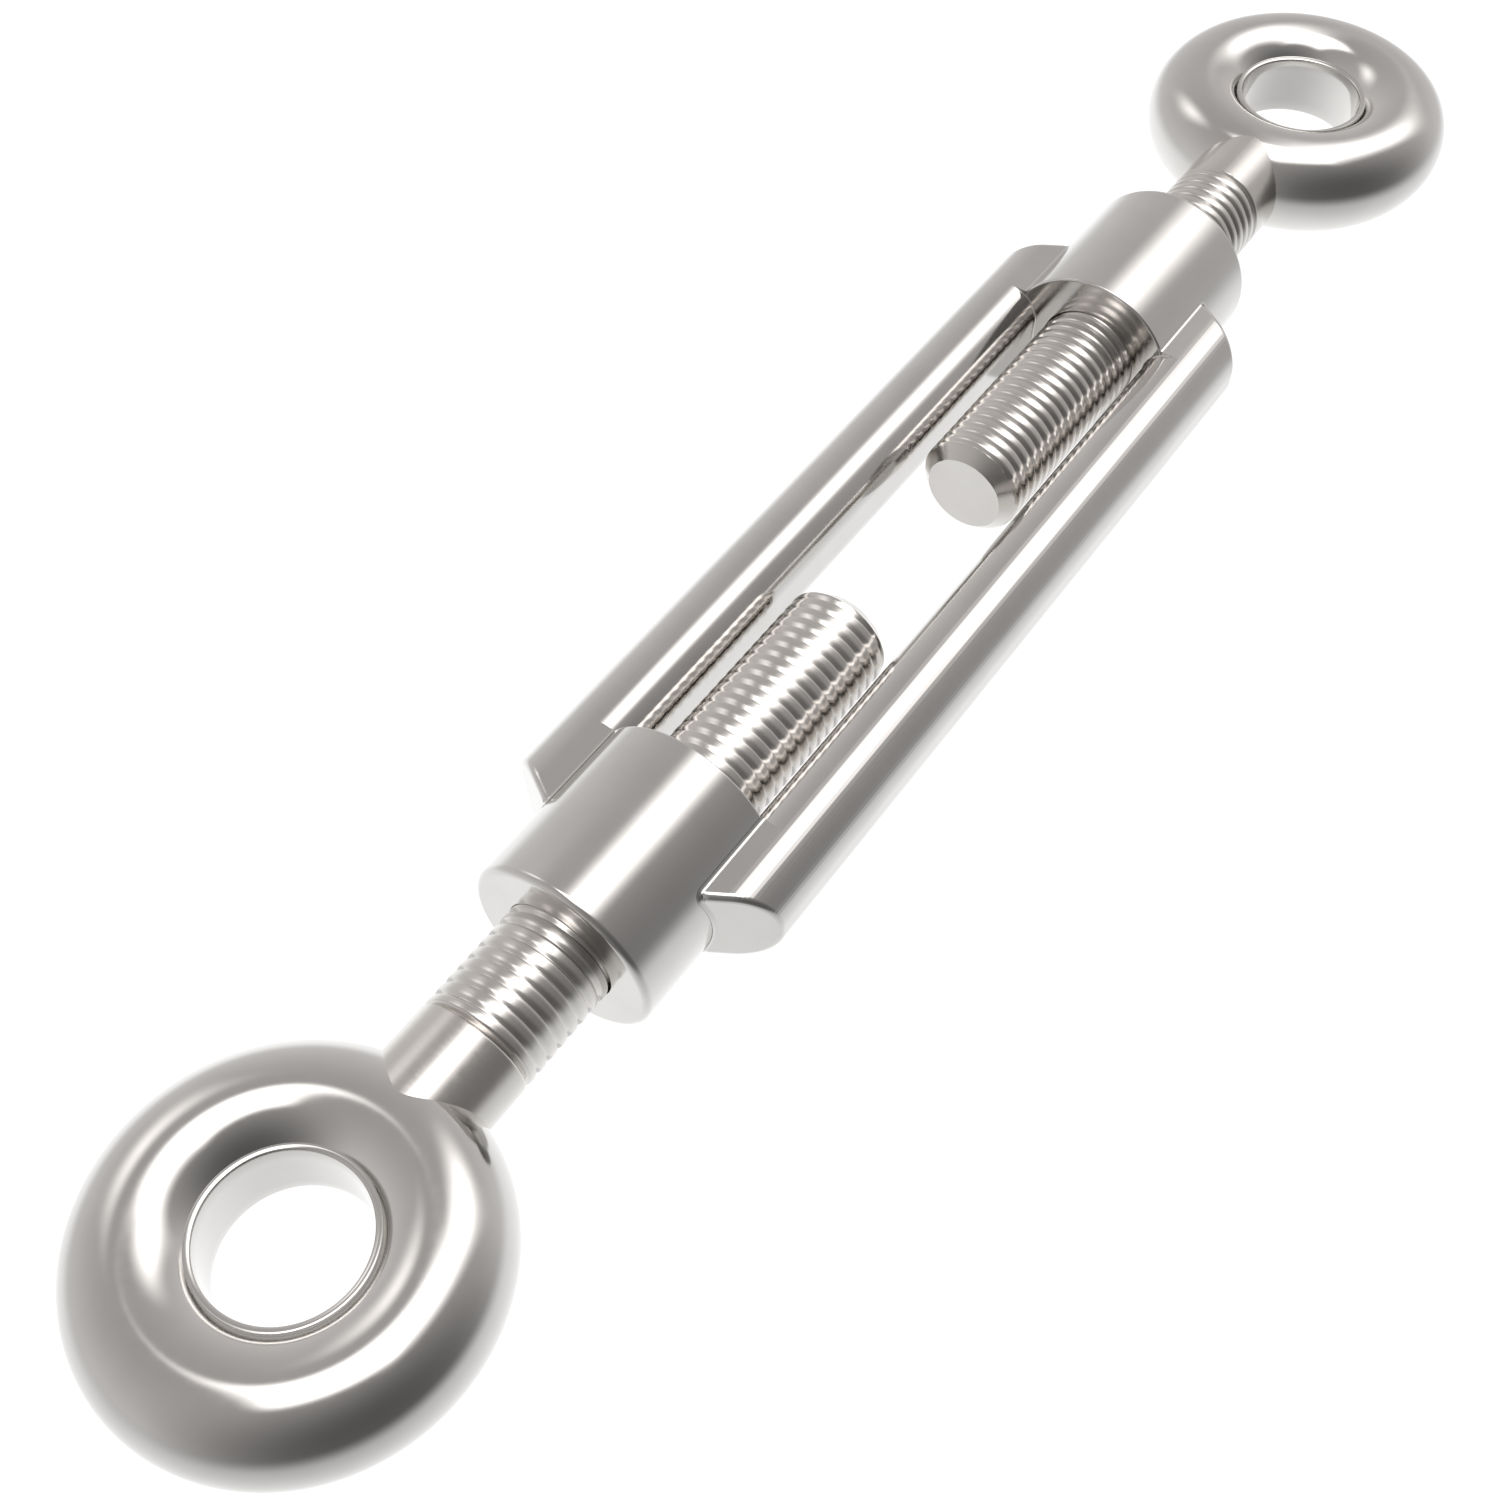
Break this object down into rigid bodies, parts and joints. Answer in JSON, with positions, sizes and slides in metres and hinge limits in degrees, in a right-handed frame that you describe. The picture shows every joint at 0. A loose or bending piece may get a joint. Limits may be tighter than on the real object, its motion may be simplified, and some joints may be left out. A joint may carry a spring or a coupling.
{
  "type": "rigging turnbuckle",
  "caption": "Open-body turnbuckle: round-bar frame welded to threaded bosses, with an eye screwed into each end; turning the frame draws the eyes together or lets them out.",
  "frame": {"origin": "on the screw axis, midway between the two bosses", "axes": "+X along the screw axis from the right-hand-threaded near end to the left-hand-threaded far end, +Y towards the left side bar, +Z along the bores of the two eyes"},
  "size_m": [0.3844, 0.0644, 0.0344],
  "materials": {
    "body_steel": "polished",
    "weld_steel": "polished",
    "eye_steel": "polished",
    "thread_steel": "polished"
  },
  "bodies": {
    "carrier": {"near_boss": "body_steel"},
    "frame": {"far_boss": "body_steel", "left_bar": "body_steel", "right_bar": "body_steel", "near_left_weld": "weld_steel", "near_right_weld": "weld_steel", "far_left_weld": "weld_steel", "far_right_weld": "weld_steel"},
    "near_eye": {"near_ring": "eye_steel", "near_shank": "thread_steel"},
    "far_eye": {"far_ring": "eye_steel", "far_shank": "thread_steel"}
  },
  "joints": [
    {"name": "frame_turn", "type": "hinge", "parent": "carrier", "child": "frame", "pos_m": [0, 0, 0], "axis": [1, 0, 0], "range_deg": [-2610, 6570]},
    {"name": "near_eye_travel", "type": "slide", "parent": "carrier", "child": "near_eye", "axis": [-1, 0, 0], "range_m": [-0.01813, 0.04563]},
    {"name": "far_eye_travel", "type": "slide", "parent": "carrier", "child": "far_eye", "axis": [1, 0, 0], "range_m": [-0.01813, 0.04563]}
  ],
  "couplings": [
    {"joint": "near_eye_travel", "follows": "frame_turn", "m_per_rad": 0.00039789},
    {"joint": "far_eye_travel", "follows": "frame_turn", "m_per_rad": 0.00039789}
  ]
}
